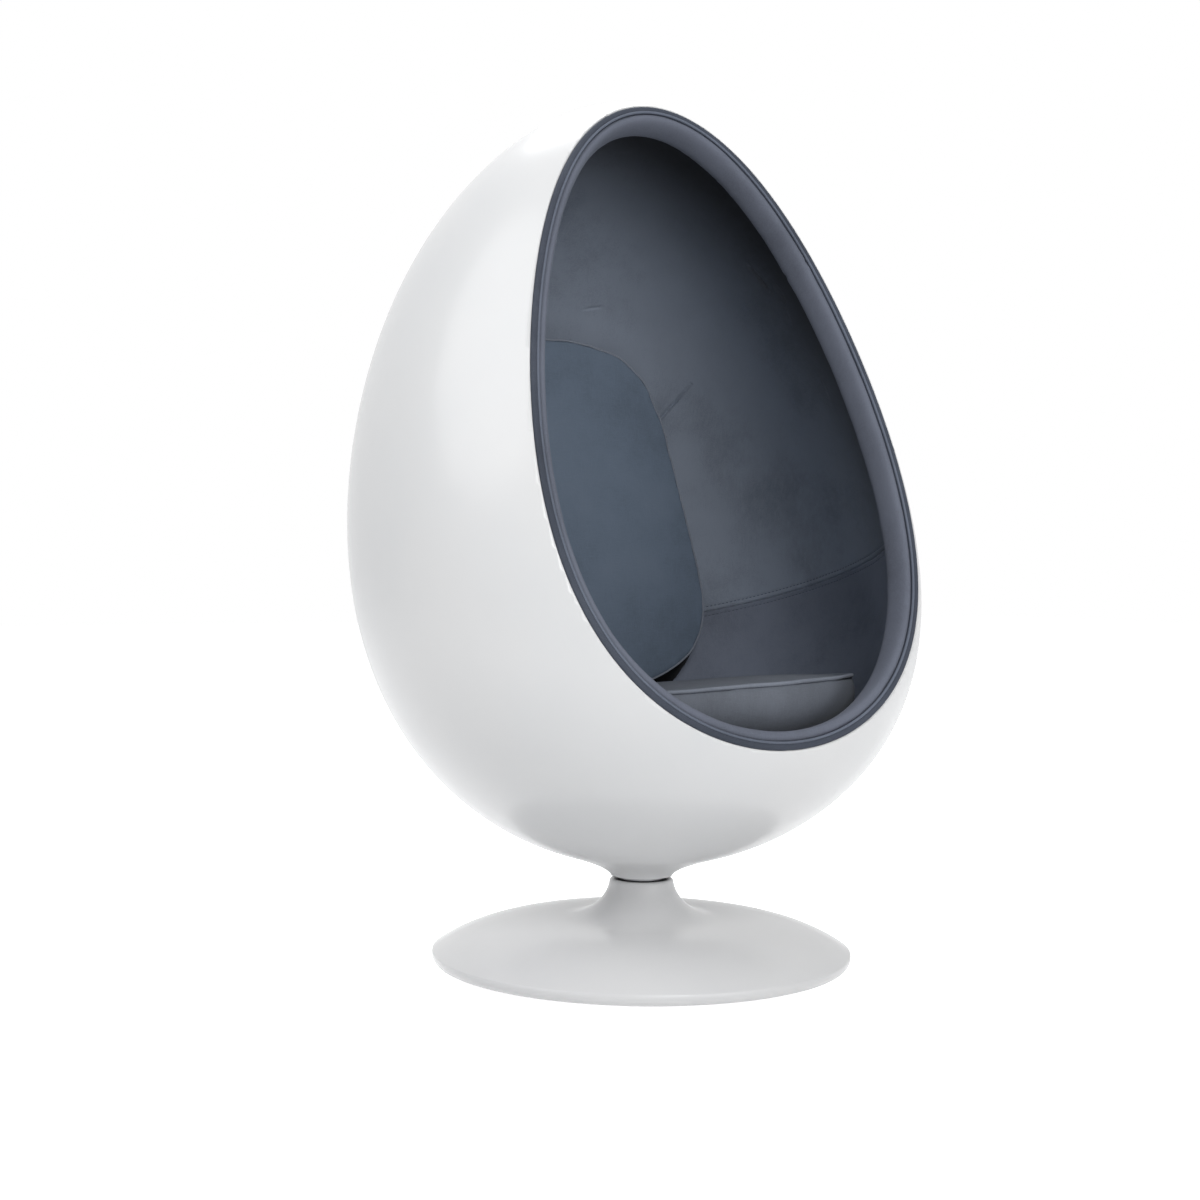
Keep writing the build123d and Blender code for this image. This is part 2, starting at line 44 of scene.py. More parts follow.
# ---- driving dimensions: the CAD source's, and what was measured closer on the photograph --------
CHAIR_HEIGHT = 1300.0
EGG_FOOT = 145.6
RING_RADIUS = 421.3
SWELL = (1.0, -0.201, 0.056, 0.023, -0.040)
LEAN = (55.2, 107.2, -23.6, -72.4)
EGG_MIDDLE = (CHAIR_HEIGHT + EGG_FOOT) / 2
EGG_HALF = (CHAIR_HEIGHT - EGG_FOOT) / 2
SHELL_WALL = 5.0
LINING_FACE = 30.3  # from the shell's outer face to the cloth
LINING_THICK = 16.0
LINING_TURNS = (-62, 89.6)  # degrees of the egg's rings that the lining covers

MOUTH_LEAN = math.radians(20.76)
MOUTH_REACH = 222.0  # 4 mm in front of the CAD's mouth plane, where the rim lies
MOUTH_AIM_HEIGHT = 700.0
MOUTH_CENTRE = 20.0
RIM_DEPTH = 42.0

SEAM_HEIGHT = 594.0
SEAM_LEAN = math.radians(15.5)

SEAT_HEIGHT = 322.0
SEAT_TILT = math.radians(4.0)
CUSHION_FOOT = 272.0
CUSHION_TOP = 316.0
CUSHION_SIDE = 84.0
CUSHION_BULGE = 21.0  # how far the boxing stands out half way up, 12 mm more than in the CAD
CUSHION_CROWN = 9.0  # 3 mm flatter
CUSHION_ROLL = 0.046  # the stuffing stands higher on the sitter's left
CUSHION_SINK = 0.022  # and sinks towards the back
CORD = 2.9  # radius of the seat cushion's cords, 0.5 mm thinner

BACK_LEAN = math.radians(8.9)
BACK_FOOT = 405.4
BACK_FRONT = 216.0
BACK_THICK = 60.0
BACK_CROWN = 18.0

NECK_RADIUS = 46.5  # 2 mm wider than in the CAD
NECK_FLARE = (3.0, 6.5)  # from the neck's foot to the first handle of its flare
NECK_SPREAD = 0.76  # how far the flare's second handle lies in from where it meets the egg
POD_NECK_END = 128.5
BASE_RADIUS = 315.6
BASE_EDGE_HEIGHT = 15.0
BASE_EDGE_TUCK = 11.0
BASE_LIFT = 1.0
BASE_DOME = 48.3
BASE_DOME_FOOT = 17.6
BASE_DOME_POWER = 4.3
BASE_FLARE_FOOT = 125.0
BASE_FLARE_HANDLES = ((76.0, 2.0), (51.5, 95.0))  # radius and rise from the foot; radius and height
BASE_NECK_RADIUS = 48.4  # 0.8 mm slimmer than in the CAD
BASE_NECK_FOOT = 120.0
BASE_TOP = 123.5
BASE_LIP = ((47.2, 122.4), (45.4, BASE_TOP), (43.0, BASE_TOP), (41.0, 122.5), (41.0, 112.0))

MOUTH_NORMAL = np.array([0, -math.cos(MOUTH_LEAN), math.sin(MOUTH_LEAN)])
MOUTH_UP = np.array([0, math.sin(MOUTH_LEAN), math.cos(MOUTH_LEAN)])
MOUTH_ORIGIN = MOUTH_REACH * MOUTH_NORMAL + np.array([0, 0, MOUTH_AIM_HEIGHT])
POD_MIDDLE = np.array([0, 60, 750])  # a point inside, which tells the cloth's front from its back
SEAM_ORIGIN = np.array([0, 0, SEAM_HEIGHT])
SEAM_NORMAL = np.array([0, math.sin(SEAM_LEAN), math.cos(SEAM_LEAN)])
SEAT_ORIGIN = np.array([0, 0, SEAT_HEIGHT])
SEAT_NORMAL = np.array([0, math.sin(SEAT_TILT), math.cos(SEAT_TILT)])
SEAT_BACKWARDS = np.array([0, math.cos(SEAT_TILT), -math.sin(SEAT_TILT)])
BACK_ORIGIN = np.array([0, BACK_FRONT, BACK_FOOT])
BACK_NORMAL = np.array([0, -math.cos(BACK_LEAN), math.sin(BACK_LEAN)])
BACK_UP = np.array([0, math.sin(BACK_LEAN), math.cos(BACK_LEAN)])
ACROSS = np.array([1.0, 0, 0])
BLACK = (0, 0, 0, 1)
WHITE = (1, 1, 1, 1)


# ---- material helpers ----------------------------------------------------------------------------
def linear(r, g, b):
    """A colour given as 0-255 screen values, as the shader wants it."""
    out = []
    for value in (r, g, b):
        c = value / 255
        out.append(c / 12.92 if c <= 0.04045 else ((c + 0.055) / 1.055) ** 2.4)
    return (*out, 1.0)


class Shader:
    """A material with a Principled shader and short ways to add its nodes."""

    def __init__(self, name, **settings):
        self.material = bpy.data.materials.new(name)
        self.material.use_nodes = True
        self.tree = self.material.node_tree
        self.surface = self.tree.nodes["Principled BSDF"]
        for socket, value in settings.items():
            self.surface.inputs[socket.replace("_", " ")].default_value = value
        self.place = self.node("ShaderNodeTexCoord").outputs["Object"]

    def node(self, kind, **values):
        made = self.tree.nodes.new(kind)
        for key, value in values.items():
            setattr(made, key, value)
        return made

    def link(self, a, b):
        self.tree.links.new(a, b)

    def noise(self, scale, detail=3.0, rough=0.5, stretch=(1, 1, 1)):
        mapping = self.node("ShaderNodeMapping")
        mapping.inputs["Scale"].default_value = stretch
        self.link(self.place, mapping.inputs["Vector"])
        made = self.node("ShaderNodeTexNoise")
        made.inputs["Scale"].default_value = scale
        made.inputs["Detail"].default_value = detail
        made.inputs["Roughness"].default_value = rough
        self.link(mapping.outputs["Vector"], made.inputs["Vector"])
        return made.outputs["Fac"]

    def math(self, operation, a, b):
        made = self.node("ShaderNodeMath", operation=operation)
        for socket, value in zip(made.inputs, (a, b)):
            if isinstance(value, (int, float)):
                socket.default_value = value
            else:
                self.link(value, socket)
        return made.outputs[0]

    def ramp(self, factor, *stops):
        made = self.node("ShaderNodeValToRGB")
        points = made.color_ramp.elements
        while len(points) < len(stops):
            points.new(0.5)
        for point, (position, colour) in zip(points, stops):
            point.position = position
            point.color = colour
        self.link(factor, made.inputs["Fac"])
        return made.outputs["Color"]

    def span(self, factor, low, high):
        """Turns a 0-1 factor into a value between low and high."""
        made = self.node("ShaderNodeMapRange")
        made.inputs["To Min"].default_value = low
        made.inputs["To Max"].default_value = high
        self.link(factor, made.inputs["Value"])
        return made.outputs["Result"]

    def bump(self, height, strength, distance):
        made = self.node("ShaderNodeBump")
        made.inputs["Strength"].default_value = strength
        made.inputs["Distance"].default_value = distance
        self.link(height, made.inputs["Height"])
        previous = self.surface.inputs["Normal"].links
        if previous:
            self.link(previous[0].from_socket, made.inputs["Normal"])
        self.link(made.outputs["Normal"], self.surface.inputs["Normal"])

    def colour(self, output):
        self.link(output, self.surface.inputs["Base Color"])

    def between(self, factor, low, high):
        """Mixes two colours, each an output or a fixed colour."""
        made = self.node("ShaderNodeMix", data_type="RGBA")
        self.link(factor, made.inputs["Factor"])
        for socket, value in ((made.inputs[6], low), (made.inputs[7], high)):
            if isinstance(value, tuple):
                socket.default_value = value
            else:
                self.link(value, socket)
        return made.outputs[2]

    def behind(self, origin, normal, near, far):
        """Rises smoothly from 0 to 1 between two distances in metres behind a plane."""
        dot = self.node("ShaderNodeVectorMath", operation="DOT_PRODUCT")
        self.link(self.place, dot.inputs[0])
        dot.inputs[1].default_value = tuple(normal)
        made = self.node("ShaderNodeMapRange", interpolation_type="SMOOTHSTEP")
        level = float(np.dot(origin, normal)) * MM
        made.inputs["From Min"].default_value = level - near
        made.inputs["From Max"].default_value = level - far
        self.link(dot.outputs["Value"], made.inputs["Value"])
        return made.outputs["Result"]

    def roughness(self, output):
        self.link(output, self.surface.inputs["Roughness"])


def mixed(colour, other, share):
    return tuple(a * (1 - share) + b * share for a, b in zip(colour, other))


def lacquer(name, colour, shade):
    """Gloss lacquer over a moulded or spun shell: faint orange peel, polish haze and tone drift."""
    paint = Shader(name, Coat_Weight=0.6, Coat_Roughness=0.2, IOR=1.46)
    tone = paint.noise(2.6, 4.0)
    paint.colour(paint.ramp(tone, (0.35, shade), (0.65, colour)))
    paint.roughness(paint.span(paint.noise(7.0, 5.0), 0.4, 0.52))
    paint.bump(paint.noise(420.0, 2.0), 0.05, 0.0004)
    paint.bump(paint.noise(24.0, 2.0), 0.04, 0.0012)
    return paint.material


def felt(name, colour, drift=0.22, painted_rim_shade=None):
    """Fine felted wool: matted fibres, a faint weave under them, cloudy tone and a soft sheen.

    painted_rim_shade gives a dark colour, the origin and normal of a plane, and two distances in
    metres behind it: the cloth has the dark colour up to the first and its own from the second on,
    a painted shade for the lining behind the mouth's rim.
    """
    cloth = Shader(name, Sheen_Weight=0.12, Sheen_Roughness=0.5, Specular_IOR_Level=0.12)
    cloth.surface.inputs["Sheen Tint"].default_value = mixed(colour, WHITE, 0.3)
    dark = mixed(colour, BLACK, drift)
    light = mixed(colour, (0.5, 0.55, 0.65, 1), drift * 0.35)
    clouds = cloth.noise(6.5, 5.0, 0.6)
    fibres = cloth.noise(750.0, 4.0, 0.65)
    across = cloth.noise(240.0, 3.0, 0.6, stretch=(0.25, 2.4, 2.4))
    along = cloth.noise(240.0, 3.0, 0.6, stretch=(2.4, 0.5, 0.25))
    threads = cloth.math("MAXIMUM", across, along)
    flecks = cloth.math("MULTIPLY", fibres, threads)
    cloudy, flecked = cloth.math("MULTIPLY", clouds, 0.7), cloth.math("MULTIPLY", flecks, 0.6)
    blend = cloth.math("ADD", cloudy, flecked)
    shade = cloth.ramp(blend, (0.33, dark), (0.52, colour), (0.78, light))
    # painted shade: the cloth darkens towards the mouth's rim
    if painted_rim_shade:
        tone, *plane = painted_rim_shade
        shade = cloth.between(cloth.behind(*plane), tone, shade)
    cloth.colour(shade)
    cloth.roughness(cloth.span(clouds, 0.72, 0.95))
    cloth.bump(clouds, 0.25, 0.004)
    cloth.bump(flecks, 0.35, 0.0006)
    return cloth.material


def brushed(name, colour):
    metal = Shader(name, Metallic=1.0)
    lines = metal.noise(60.0, 4.0, 0.6, stretch=(1, 1, 14))
    metal.colour(metal.ramp(lines, (0.3, mixed(colour, BLACK, 0.2)), (0.7, colour)))
    metal.roughness(metal.span(lines, 0.28, 0.5))
    metal.bump(lines, 0.15, 0.0003)
    return metal.material


def moulded(name, colour, rough=0.55):
    plastic = Shader(name)
    grain = plastic.noise(900.0, 2.0)
    pale = mixed(colour, WHITE, 0.03)
    plastic.colour(plastic.ramp(plastic.noise(30.0), (0.3, colour), (0.7, pale)))
    plastic.roughness(plastic.span(grain, rough, rough + 0.2))
    plastic.bump(grain, 0.2, 0.0002)
    return plastic.material


def timber(name, colour, dark):
    wood = Shader(name)
    grain = wood.noise(14.0, 6.0, 0.6, stretch=(1, 9, 9))
    wood.colour(wood.ramp(grain, (0.3, dark), (0.7, colour)))
    wood.roughness(wood.span(grain, 0.5, 0.75))
    wood.bump(grain, 0.2, 0.0006)
    return wood.material


# ---- mesh helpers --------------------------------------------------------------------------------
def new_piece(name, mesh, material, body, *nodes):
    """Puts a mesh in the scene as a piece that rides on a body and stands for the CAD nodes."""
    piece = bpy.data.objects.new(name, mesh)
    bpy.context.scene.collection.objects.link(piece)
    mesh.materials.append(material)
    for face in mesh.polygons:
        face.use_smooth = True
    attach(piece, body)
    if nodes:
        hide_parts(*nodes)
    return piece


def mesh_of(name, points, faces):
    mesh = bpy.data.meshes.new(name)
    mesh.from_pydata((np.asarray(points) * MM).tolist(), [], faces)
    edit = bmesh.new()
    edit.from_mesh(mesh)
    bmesh.ops.recalc_face_normals(edit, faces=edit.faces)
    edit.to_mesh(mesh)
    edit.free()
    return mesh


def grid_faces(rows, columns, closed_rows=False):
    """Quads over rows of points; every row closes on itself."""
    faces = []
    for i in range(rows if closed_rows else rows - 1):
        for j in range(columns):
            a = i * columns + j
            b = i * columns + (j + 1) % columns
            c = ((i + 1) % rows) * columns + (j + 1) % columns
            d = ((i + 1) % rows) * columns + j
            faces.append((a, b, c, d))
    return faces


def turned(name, profile, columns=160):
    """A mesh turned about the chair's axis from a profile of radius and height."""
    angle = np.linspace(0, 2 * np.pi, columns, endpoint=False)
    rows = [np.stack([r * np.cos(angle), r * np.sin(angle), 0 * angle + z], -1) for r, z in profile]
    return mesh_of(name, np.concatenate(rows), grid_faces(len(rows), columns))


def cut(mesh_edit, origin, normal, keep_front=None):
    """Cuts along a plane; keep_front False drops the side that the normal points to."""
    bmesh.ops.bisect_plane(
        mesh_edit,
        geom=mesh_edit.verts[:] + mesh_edit.edges[:] + mesh_edit.faces[:],
        plane_co=Vector(origin * MM),
        plane_no=Vector(normal),
        clear_outer=keep_front is False,
        clear_inner=keep_front is True,
    )


def thickened(piece, thickness):
    """Gives a skin its wall, on the side that its faces turn away from."""
    solid = piece.modifiers.new("thickness", "SOLIDIFY")
    solid.thickness = thickness * MM
    solid.offset = -1


def bezier(t, *handles):
    """Values along a cubic curve with these four handles."""
    blend = np.stack([(1 - t) ** 3, 3 * t * (1 - t) ** 2, 3 * t * t * (1 - t), t**3], -1)
    return blend @ handles


def closed_run(outline):
    """A closed outline with its first point again at the end, and the length up to each point."""
    closed = np.vstack([outline, outline[:1]])
    return closed, run_along(closed)


def run_along(points):
    """The length of a line of points up to each of them."""
    return np.concatenate([[0], np.cumsum(np.linalg.norm(np.diff(points, axis=0), axis=1))])


def read_along(places, run, points):
    """The points at these lengths along a line."""
    return np.stack([np.interp(places, run, column) for column in points.T], -1)


def wander(points, size, seed=0.0):
    """Smooth random values between -1 and 1 at these points, for features of this size."""
    shift = Vector((seed, seed * 0.37, -seed * 0.71))
    return np.array([noise.noise(Vector(p) / size + shift) for p in points])


# ---- the egg -------------------------------------------------------------------------------------
def series(terms, w):
    """A polynomial of w with these terms, the constant one first."""
    return sum(term * w**power for power, term in enumerate(terms))


def ring_radius(w):
    return RING_RADIUS * np.sqrt(np.maximum(1 - w * w, 0)) * series(SWELL, w)


def egg_ring(turn, inset):
    """Radius, height and middle of level rings, moved inwards square to the wall."""
    step = 1e-4
    rise = EGG_HALF * np.cos(turn)
    widen = (ring_radius(np.sin(turn + step)) - ring_radius(np.sin(turn - step))) / (2 * step)
    steep = np.hypot(rise, widen)
    radius = ring_radius(np.sin(turn)) - inset * rise / steep
    height = EGG_MIDDLE + EGG_HALF * np.sin(turn) + inset * widen / steep
    return radius, height, series(LEAN, np.sin(turn))


def egg_points(turns, columns, inset):
    angle = np.linspace(0, 2 * np.pi, columns, endpoint=False)[None, :]
    radius, height, middle = (part[:, None] for part in egg_ring(turns, inset))
    points = np.stack(
        np.broadcast_arrays(radius * np.cos(angle), middle + radius * np.sin(angle), height), -1
    )
    return points.reshape(-1, 3)


def mouth_edge(angle):
    """The shell's edge on the mouth plane, found by halving along rays from the mouth's middle."""
    near = np.zeros_like(angle)
    far = np.full_like(angle, CHAIR_HEIGHT)
    for _ in range(40):
        reach = (near + far) / 2
        across = reach * np.cos(angle)
        up = MOUTH_CENTRE + reach * np.sin(angle)
        point = MOUTH_ORIGIN + across[:, None] * ACROSS + up[:, None] * MOUTH_UP
        w = (point[:, 2] - EGG_MIDDLE) / EGG_HALF
        middle = series(LEAN, w)
        inside = (np.abs(w) < 1) & (np.hypot(point[:, 0], point[:, 1] - middle) < ring_radius(w))
        near = np.where(inside, reach, near)
        far = np.where(inside, far, reach)
    return near


def mouth_stations(count):
    """Evenly spaced points round the mouth from its lowest point, and their inward directions."""
    angle = np.linspace(-np.pi / 2, 1.5 * np.pi, 4 * count, endpoint=False)
    reach = mouth_edge(angle)
    flat = np.stack([reach * np.cos(angle), MOUTH_CENTRE + reach * np.sin(angle)], -1)
    closed, run = closed_run(flat)
    flat = read_along(np.linspace(0, run[-1], count, endpoint=False), run, closed)
    along = np.roll(flat, -2, axis=0) - np.roll(flat, 2, axis=0)
    along /= np.linalg.norm(along, axis=1)[:, None]
    inwards = np.stack([-along[:, 1], along[:, 0]], -1)
    points = MOUTH_ORIGIN + flat[:, :1] * ACROSS + flat[:, 1:] * MOUTH_UP
    return points, inwards[:, :1] * ACROSS + inwards[:, 1:] * MOUTH_UP


def circle(radius, columns=12):
    angle = np.linspace(0, 2 * np.pi, columns, endpoint=False)
    return np.stack([radius * np.cos(angle), radius * np.sin(angle)], -1)


def swept(name, stations, inwards, forwards, section, swell=None):
    """Carries a closed section, or one for each station, along closed stations.

    swell scales the section at each station.
    """
    scale = np.ones(len(stations)) if swell is None else swell
    sections = np.broadcast_to(section, (len(stations), *np.shape(section)[-2:]))
    rows = []
    for point, inward, factor, outline in zip(stations, inwards, scale, sections):
        middle = outline.mean(axis=0)
        flat = middle + (outline - middle) * factor
        rows.append(point + flat[:, :1] * inward + flat[:, 1:] * forwards)
    return mesh_of(name, np.concatenate(rows), grid_faces(len(rows), len(rows[0]), True))


# ---- materials -----------------------------------------------------------------------------------
shell_paint = lacquer("shell_lacquer", linear(234, 234, 234), linear(229, 230, 231))
# The base's white is set a little greyer than the shell's, a painted shade for the pod's shadow
# over the base.
base_paint = lacquer("base_lacquer", linear(229, 229, 229), linear(223, 223, 224))
# Painted shade: the lining's felt is darkened from just behind the rim inwards, where the rim
# shades it.
PAINTED_SHADE_LEAN = MOUTH_LEAN + 0.12  # the painted shade's plane leans back more than the mouth, so the painted shade reaches further in at the top of the pod
PAINTED_SHADE_NORMAL = np.array([0, -math.cos(PAINTED_SHADE_LEAN), math.sin(PAINTED_SHADE_LEAN)])
PAINTED_SHADE_TONE = linear(44, 46, 50)
upper_cloth = felt(
    "upper_lining_felt", linear(147, 156, 171), 0.28,
    painted_rim_shade=(PAINTED_SHADE_TONE, MOUTH_ORIGIN, PAINTED_SHADE_NORMAL, 0.04, 0.29),
)
# The lower panel's felt is the upper panel's cloth set darker, a painted shade for the lower part
# of the pod.
lower_cloth = felt(
    "lower_lining_felt", linear(126, 133, 148), 0.28,
    painted_rim_shade=(PAINTED_SHADE_TONE, MOUTH_ORIGIN, MOUTH_NORMAL, 0.0, 0.22),
)
rim_cloth = felt("rim_felt", linear(112, 117, 130))
welt_cloth = felt("welt_felt", linear(76, 81, 92))
cord_cloth = felt("cord_felt", linear(110, 117, 131))
piping_cloth = felt("piping_felt", linear(130, 136, 147))
seat_cloth = felt("seat_felt", linear(112, 117, 126))
back_cloth = felt("back_felt", linear(106, 119, 135))
# near-black, a painted shade for the hollow behind the back pad's lower corner
boxing_shade_cloth = felt("boxing_shade_felt", linear(8, 8, 9))
stitch_thread = felt("stitch_thread", linear(100, 107, 121))
steel = brushed("brushed_steel", linear(190, 190, 194))
dark_plastic = moulded("dark_plastic", linear(34, 34, 36))
grey_plastic = moulded("grey_plastic", linear(150, 152, 154))
foot_rubber = moulded("foot_rubber", linear(28, 28, 29), 0.75)
plywood = timber("plywood", linear(84, 74, 62), linear(66, 58, 49))  # set dark, a painted shade for the shadow under the seat cushion's edge, where the board shows
hardwood = timber("hardwood", linear(196, 164, 122), linear(168, 134, 94))
backing_cloth = felt("backing_cloth", linear(44, 46, 52))

kept = {  # CAD nodes that are shown as they are
    "base_plate": steel,
    "foot_pad": foot_rubber,
    "post": steel,
    "post_bolts": steel,
    "neck_collar": grey_plastic,
    "thrust_washer": dark_plastic,
    "stop_collar": steel,
    "post_cap": dark_plastic,
    "swivel_sleeve": steel,
    "lower_bush": dark_plastic,
    "upper_bush": dark_plastic,
    "sleeve_bolts": steel,
    "seat_board": plywood,
    "board_bearers": hardwood,
    "board_screws": steel,
    "rim_backing": backing_cloth,
}
for node, material in kept.items():
    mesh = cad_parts[node].data
    mesh.materials.clear()
    mesh.materials.append(material)


# ---- pod shell -----------------------------------------------------------------------------------
SHELL_COLUMNS = 320
SHELL_ROWS = 220
FLARE_JOIN = 122.0  # ring radius at which the neck's flare has become the egg
FLARE_STEPS = 26


def flare_rings():
    """The pod's neck, from its foot outwards until it meets the egg."""
    turns = np.radians(np.linspace(-89.9, -40, 2000))
    start_turn = np.interp(FLARE_JOIN, ring_radius(np.sin(turns)), turns)
    radius, height, middle = egg_ring(np.array([start_turn, start_turn + 0.01]), 0)
    slope = (height[1] - height[0]) / (radius[1] - radius[0])
    t = np.linspace(0, 1, FLARE_STEPS, endpoint=False)
    spread = NECK_SPREAD * (radius[0] - NECK_RADIUS)
    foot, rise = NECK_FLARE
    r = bezier(t, NECK_RADIUS, NECK_RADIUS + foot, radius[0] - spread, radius[0])
    z = bezier(t, POD_NECK_END, POD_NECK_END + rise, height[0] - spread * slope, height[0])
    return r, z, middle[0] * t * t, start_turn


def shell_mesh():
    r, z, y, start_turn = flare_rings()
    angle = np.linspace(0, 2 * np.pi, SHELL_COLUMNS, endpoint=False)
    rows = [
        np.stack([a * np.cos(angle), c + a * np.sin(angle), 0 * angle + b], -1)
        for a, b, c in zip(r, z, y)
    ]
    turns = np.linspace(start_turn, np.radians(89.7), SHELL_ROWS)
    points = np.concatenate(rows + [egg_points(turns, SHELL_COLUMNS, 0)])
    return mesh_of("pod_shell_skin", points, grid_faces(len(rows) + len(turns), SHELL_COLUMNS))


def close_top(mesh_edit, height):
    """Fills the small ring that rows of points leave open at the top, above this height."""
    ring = [e for e in mesh_edit.edges if e.is_boundary and e.verts[0].co.z > height * MM]
    if ring:
        bmesh.ops.contextual_create(mesh_edit, geom=ring)


def build_shell():
    mesh = shell_mesh()
    edit = bmesh.new()
    edit.from_mesh(mesh)
    cut(edit, MOUTH_ORIGIN, MOUTH_NORMAL, keep_front=False)
    close_top(edit, CHAIR_HEIGHT - 3)
    bmesh.ops.recalc_face_normals(edit, faces=edit.faces)
    edit.to_mesh(mesh)
    piece = new_piece("pod_shell_skin", mesh, shell_paint, "pod", "pod_shell")
    thickened(piece, SHELL_WALL)


build_shell()


# ---- base ----------------------------------------------------------------------------------------
def base_profile():
    """Radius and height along the skin: tucked edge, dome, flare and the neck's rolled lip."""
    tuck = np.linspace(-np.pi / 2, 0, 10)
    edge_r = BASE_RADIUS - BASE_EDGE_TUCK + BASE_EDGE_TUCK * np.cos(tuck)
    edge_z = BASE_EDGE_HEIGHT + (BASE_EDGE_HEIGHT - BASE_LIFT) * np.sin(tuck)
    dome_r = BASE_RADIUS * np.cos(np.linspace(0.05, math.acos(BASE_FLARE_FOOT / BASE_RADIUS), 40))
    dome_z = BASE_DOME_FOOT + BASE_DOME * (1 - (dome_r / BASE_RADIUS) ** BASE_DOME_POWER)
    foot_z = dome_z[-1]
    t = np.linspace(0, 1, 24)[1:]
    (low_r, low_rise), (high_r, high_z) = BASE_FLARE_HANDLES
    flare_r = bezier(t, BASE_FLARE_FOOT, low_r, high_r, BASE_NECK_RADIUS)
    flare_z = bezier(t, foot_z, foot_z + low_rise, high_z, BASE_NECK_FOOT)
    profile = list(zip(edge_r, edge_z)) + list(zip(dome_r, dome_z)) + list(zip(flare_r, flare_z))
    return profile + list(BASE_LIP)


def build_base():
    mesh = turned("base_skin", base_profile())
    piece = new_piece("base_skin", mesh, base_paint, "base", "base_shell")


build_base()


# ---- lining --------------------------------------------------------------------------------------
LINING_COLUMNS = 300
LINING_ROWS = 230
SEAM_CUTS = (-17, -12, -9.5, -8, -6.5, -4.5, -2.8, -1.3, 1.3, 2.8, 4.5, 6.5, 8, 9.5, 12, 17)
TOPSTITCH = 8.0  # from the seam to the lines of stitches beside it
LINING_OVERLAP = 4.0  # how far the lining runs forwards behind the roll
DIP = 9.0  # how far the lining falls back behind the roll
DIP_REACH = 55.0  # over which it comes forwards again
SEAM_GROOVE = 1.7  # depth and half width of the groove along the seam
SEAM_PULL = 0.8  # how far the cloth beside the seam is drawn in
SEAM_PULL_REACH = 16.0
STITCH_GROOVE = 0.9
STITCH_GROOVE_WIDTH = 1.5
CREASES = (  # start, end, depth and half width of each crease in the cloth
    ((235, 351, 835), (268, 286, 904), 7.0, 2.4),
    ((258, 102, 1084), (282, 80, 1044), 13.0, 4.5),
    ((264, 60, 1050), (284, 44, 1018), 4.0, 6.0),
    ((104, 365, 1031), (130, 352, 1037), 1.8, 3.0),
    ((283, 60, 1010), (300, 52, 985), 2.5, 7.0),
    ((330, 20, 900), (352, 5, 860), 2.2, 9.0),
    ((-140, 350, 1000), (-190, 320, 1030), 1.8, 6.0),
    ((-290, 60, 1020), (-305, 10, 960), 2.2, 8.0),
)
CREASE_REACH = 22.0  # faces nearer than this to a crease are split
WAVES = ((2.2, 150.0, 0.0), (0.9, 52.0, 5.0))  # height, length and seed of the cloth's slow waves


def crease_depth(points, start, end, depth, width):
    """A groove with soft banks along a line, fading at both ends, measured along the cloth."""
    start, end = np.array(start, float), np.array(end, float)
    line = end - start
    share = np.clip((points - start) @ line / (line @ line), 0, 1)
    beside = points - start - share[:, None] * line
    outwards = points - POD_MIDDLE
    outwards /= np.linalg.norm(outwards, axis=1)[:, None]
    beside -= outwards * np.sum(beside * outwards, axis=1)[:, None]
    away = np.linalg.norm(beside, axis=1) / width
    fade = np.sin(np.pi * np.clip(share, 0.04, 0.96)) ** 0.5
    return -depth * fade * (1 - 0.6 * away**2) * np.exp(-(away**2))


def refined(mesh_edit, start, end, reach):
    """Splits the faces near a crease finely enough to carry it."""
    start, end = Vector(start) * MM, Vector(end) * MM
    for _ in range(2):
        near = []
        for edge in mesh_edit.edges:
            middle = (edge.verts[0].co + edge.verts[1].co) / 2
            share = min(max((middle - start).dot(end - start) / (end - start).length_squared, 0), 1)
            if (middle - start.lerp(end, share)).length < reach * MM:
                near.append(edge)
        bmesh.ops.subdivide_edges(mesh_edit, edges=near, cuts=1, use_grid_fill=True)


def lining_relief(points):
    """How far the lining's cloth stands out from its even face, in millimetres."""
    seam_gap = np.abs((points - SEAM_ORIGIN) @ SEAM_NORMAL)
    behind_mouth = (MOUTH_ORIGIN - points) @ MOUTH_NORMAL
    behind_roll = np.maximum(behind_mouth - RIM_DEPTH + LINING_OVERLAP, 0)
    relief = sum(height * wander(points, length, seed) for height, length, seed in WAVES)
    relief -= DIP * np.exp(-((behind_roll / DIP_REACH) ** 2))
    groove = SEAM_GROOVE * np.exp(-((seam_gap / SEAM_GROOVE) ** 2))
    relief -= groove + SEAM_PULL * np.exp(-seam_gap / SEAM_PULL_REACH)
    relief -= STITCH_GROOVE * np.exp(-(((seam_gap - TOPSTITCH) / STITCH_GROOVE_WIDTH) ** 2))
    relief += 0.5 * np.exp(-(((seam_gap - 15) / 9) ** 2)) * wander(points, 17.0, 9.0)
    for crease in CREASES:
        relief += crease_depth(points, *crease)
    return relief


